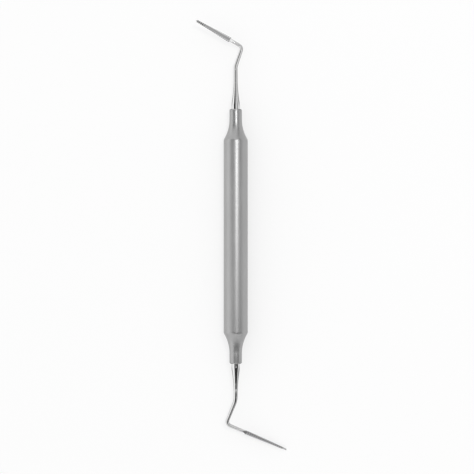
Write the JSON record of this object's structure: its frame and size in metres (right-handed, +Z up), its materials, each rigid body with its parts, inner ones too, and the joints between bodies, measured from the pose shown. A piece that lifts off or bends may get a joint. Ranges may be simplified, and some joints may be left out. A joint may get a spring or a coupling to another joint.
{
  "type": "double-ended bone file",
  "caption": "Slim double-ended surgical bone file: round tube handle with flared ends, each holding a bent, polished shank with a narrow toothed blade.",
  "frame": {"origin": "on the handle's axis, halfway between its two mouths", "axes": "+Y along the handle towards the working end whose smooth back faces up; +Z up, with the instrument lying at rest on its grip and on the other end's tip"},
  "size_m": [0.0347, 0.1691, 0.0094],
  "materials": {
    "handle_satin": "fine satin, grey stainless steel",
    "polished_steel": "mirror-polished stainless steel"
  },
  "bodies": {
    "root": {"handle": "handle_satin", "upper_file_end": "polished_steel", "lower_file_end": "polished_steel"}
  },
  "joints": []
}
